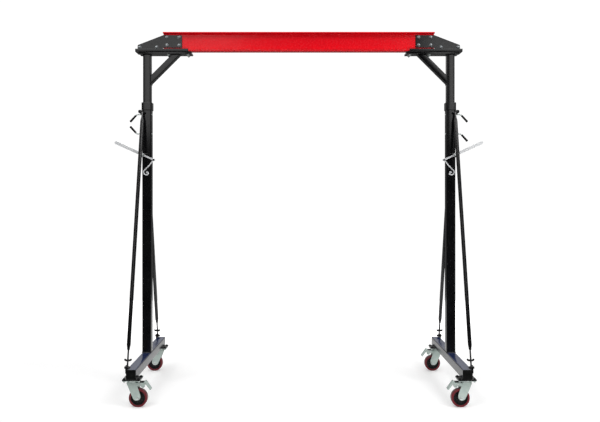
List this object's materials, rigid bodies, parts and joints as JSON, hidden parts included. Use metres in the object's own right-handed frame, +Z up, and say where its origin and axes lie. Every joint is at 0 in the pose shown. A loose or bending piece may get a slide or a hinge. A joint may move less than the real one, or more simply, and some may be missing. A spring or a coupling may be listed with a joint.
{
  "type": "portable gantry crane",
  "caption": "Portable gantry crane for lifting engines: a red I-beam on telescoping black legs with braced feet and braked swivel casters.",
  "frame": {"origin": "on the floor under the middle of the crane, at the centre of its footprint", "axes": "+Z up, X along the beam (+X to the right seen from the lever side), +Y along the feet, away from the lever side"},
  "size_m": [2.831, 1.1, 2.748],
  "materials": {
    "frame_black": "gloss black powder coat",
    "beam_red": "gloss red powder coat",
    "zinc": "bright zinc plate",
    "black_steel": "black oxide",
    "tread": "dark red polyurethane",
    "core": "moulded black",
    "knob_black": "moulded black"
  },
  "bodies": {
    "legs": {"left_outer_post": "frame_black", "left_foot": "frame_black", "left_front_brace_tube": "frame_black", "left_front_brace_rod": "black_steel", "left_front_caster_plate": "zinc", "left_back_brace_tube": "frame_black", "left_back_brace_rod": "black_steel", "left_back_caster_plate": "zinc", "right_outer_post": "frame_black", "right_foot": "frame_black", "right_front_brace_tube": "frame_black", "right_front_brace_rod": "black_steel", "right_front_caster_plate": "zinc", "right_back_brace_tube": "frame_black", "right_back_brace_rod": "black_steel", "right_back_caster_plate": "zinc"},
    "top_frame": {"beam": "beam_red", "left_mast": "frame_black", "left_mast_top_plate": "frame_black", "left_head_channel": "frame_black", "left_corner_brace": "frame_black", "left_front_gusset": "frame_black", "left_back_gusset": "frame_black", "right_mast": "frame_black", "right_mast_top_plate": "frame_black", "right_head_channel": "frame_black", "right_corner_brace": "frame_black", "right_front_gusset": "frame_black", "right_back_gusset": "frame_black"},
    "left_knob": {"left_clamp_knob": "knob_black"},
    "left_lever": {"left_lift_lever": "zinc"},
    "left_hook": {"left_lift_hook": "zinc"},
    "left_upper_pin": {"left_upper_lock_pin": "zinc"},
    "left_lower_pin": {"left_lower_lock_pin": "zinc"},
    "left_front_nut": {"left_front_wing_nut": "black_steel"},
    "left_front_caster": {"left_front_caster_fork": "zinc"},
    "left_front_wheel": {"left_front_wheel_core": "core", "left_front_wheel_tread": "tread"},
    "left_front_brake": {"left_front_brake_pedal": "zinc"},
    "left_back_nut": {"left_back_wing_nut": "black_steel"},
    "left_back_caster": {"left_back_caster_fork": "zinc"},
    "left_back_wheel": {"left_back_wheel_core": "core", "left_back_wheel_tread": "tread"},
    "left_back_brake": {"left_back_brake_pedal": "zinc"},
    "right_knob": {"right_clamp_knob": "knob_black"},
    "right_lever": {"right_lift_lever": "zinc"},
    "right_hook": {"right_lift_hook": "zinc"},
    "right_upper_pin": {"right_upper_lock_pin": "zinc"},
    "right_lower_pin": {"right_lower_lock_pin": "zinc"},
    "right_front_nut": {"right_front_wing_nut": "black_steel"},
    "right_front_caster": {"right_front_caster_fork": "zinc"},
    "right_front_wheel": {"right_front_wheel_core": "core", "right_front_wheel_tread": "tread"},
    "right_front_brake": {"right_front_brake_pedal": "zinc"},
    "right_back_nut": {"right_back_wing_nut": "black_steel"},
    "right_back_caster": {"right_back_caster_fork": "zinc"},
    "right_back_wheel": {"right_back_wheel_core": "core", "right_back_wheel_tread": "tread"},
    "right_back_brake": {"right_back_brake_pedal": "zinc"}
  },
  "joints": [
    {"name": "mast_slide", "type": "slide", "parent": "legs", "child": "top_frame", "axis": [0, 0, 1], "range_m": [-0.075, 0.825]},
    {"name": "left_knob_turn", "type": "hinge", "parent": "legs", "child": "left_knob", "pos_m": [-1.225, 0, 2.138], "axis": [-1, 0, 0], "continuous": true},
    {"name": "left_lever_lift", "type": "hinge", "parent": "legs", "child": "left_lever", "pos_m": [-1.2, -0.055, 1.798], "axis": [0, -1, 0], "range_deg": [-15, 50]},
    {"name": "left_hook_swing", "type": "hinge", "parent": "left_lever", "child": "left_hook", "pos_m": [-1.114, -0.0665, 1.759], "axis": [0, -1, 0], "range_deg": [-35, 35]},
    {"name": "left_upper_pin_pull", "type": "slide", "parent": "legs", "child": "left_upper_pin", "axis": [-1, 0, 0], "range_m": [0, 0.12]},
    {"name": "left_lower_pin_pull", "type": "slide", "parent": "legs", "child": "left_lower_pin", "axis": [-1, 0, 0], "range_m": [0, 0.12]},
    {"name": "left_front_swivel", "type": "hinge", "parent": "legs", "child": "left_front_caster", "pos_m": [-1.175, -0.493, 0.175], "axis": [0, 0, 1], "continuous": true},
    {"name": "left_front_wheel_spin", "type": "hinge", "parent": "left_front_caster", "child": "left_front_wheel", "pos_m": [-1.134, -0.493, 0.065], "axis": [0, 1, 0], "continuous": true},
    {"name": "left_front_brake_press", "type": "hinge", "parent": "left_front_caster", "child": "left_front_brake", "pos_m": [-1.115, -0.493, 0.162], "axis": [0, 1, 0], "range_deg": [0, 10]},
    {"name": "left_front_nut_turn", "type": "hinge", "parent": "legs", "child": "left_front_nut", "pos_m": [-1.202, -0.52361, 0.333], "axis": [0, 0.2549, 0.967], "continuous": true},
    {"name": "left_back_swivel", "type": "hinge", "parent": "legs", "child": "left_back_caster", "pos_m": [-1.175, 0.493, 0.175], "axis": [0, 0, 1], "continuous": true},
    {"name": "left_back_wheel_spin", "type": "hinge", "parent": "left_back_caster", "child": "left_back_wheel", "pos_m": [-1.216, 0.493, 0.065], "axis": [0, 1, 0], "continuous": true},
    {"name": "left_back_brake_press", "type": "hinge", "parent": "left_back_caster", "child": "left_back_brake", "pos_m": [-1.235, 0.493, 0.162], "axis": [0, -1, 0], "range_deg": [0, 10]},
    {"name": "left_back_nut_turn", "type": "hinge", "parent": "legs", "child": "left_back_nut", "pos_m": [-1.202, 0.52361, 0.333], "axis": [0, -0.2549, 0.967], "continuous": true},
    {"name": "right_knob_turn", "type": "hinge", "parent": "legs", "child": "right_knob", "pos_m": [1.225, 0, 2.138], "axis": [1, 0, 0], "continuous": true},
    {"name": "right_lever_lift", "type": "hinge", "parent": "legs", "child": "right_lever", "pos_m": [1.2, -0.055, 1.798], "axis": [0, 1, 0], "range_deg": [-15, 50]},
    {"name": "right_hook_swing", "type": "hinge", "parent": "right_lever", "child": "right_hook", "pos_m": [1.114, -0.0665, 1.759], "axis": [0, 1, 0], "range_deg": [-35, 35]},
    {"name": "right_upper_pin_pull", "type": "slide", "parent": "legs", "child": "right_upper_pin", "axis": [1, 0, 0], "range_m": [0, 0.12]},
    {"name": "right_lower_pin_pull", "type": "slide", "parent": "legs", "child": "right_lower_pin", "axis": [1, 0, 0], "range_m": [0, 0.12]},
    {"name": "right_front_swivel", "type": "hinge", "parent": "legs", "child": "right_front_caster", "pos_m": [1.175, -0.493, 0.175], "axis": [0, 0, 1], "continuous": true},
    {"name": "right_front_wheel_spin", "type": "hinge", "parent": "right_front_caster", "child": "right_front_wheel", "pos_m": [1.134, -0.493, 0.065], "axis": [0, 1, 0], "continuous": true},
    {"name": "right_front_brake_press", "type": "hinge", "parent": "right_front_caster", "child": "right_front_brake", "pos_m": [1.115, -0.493, 0.162], "axis": [0, -1, 0], "range_deg": [0, 10]},
    {"name": "right_front_nut_turn", "type": "hinge", "parent": "legs", "child": "right_front_nut", "pos_m": [1.202, -0.52361, 0.333], "axis": [0, 0.2549, 0.967], "continuous": true},
    {"name": "right_back_swivel", "type": "hinge", "parent": "legs", "child": "right_back_caster", "pos_m": [1.175, 0.493, 0.175], "axis": [0, 0, 1], "continuous": true},
    {"name": "right_back_wheel_spin", "type": "hinge", "parent": "right_back_caster", "child": "right_back_wheel", "pos_m": [1.134, 0.493, 0.065], "axis": [0, 1, 0], "continuous": true},
    {"name": "right_back_brake_press", "type": "hinge", "parent": "right_back_caster", "child": "right_back_brake", "pos_m": [1.115, 0.493, 0.162], "axis": [0, -1, 0], "range_deg": [0, 10]},
    {"name": "right_back_nut_turn", "type": "hinge", "parent": "legs", "child": "right_back_nut", "pos_m": [1.202, 0.52361, 0.333], "axis": [0, -0.2549, 0.967], "continuous": true}
  ]
}
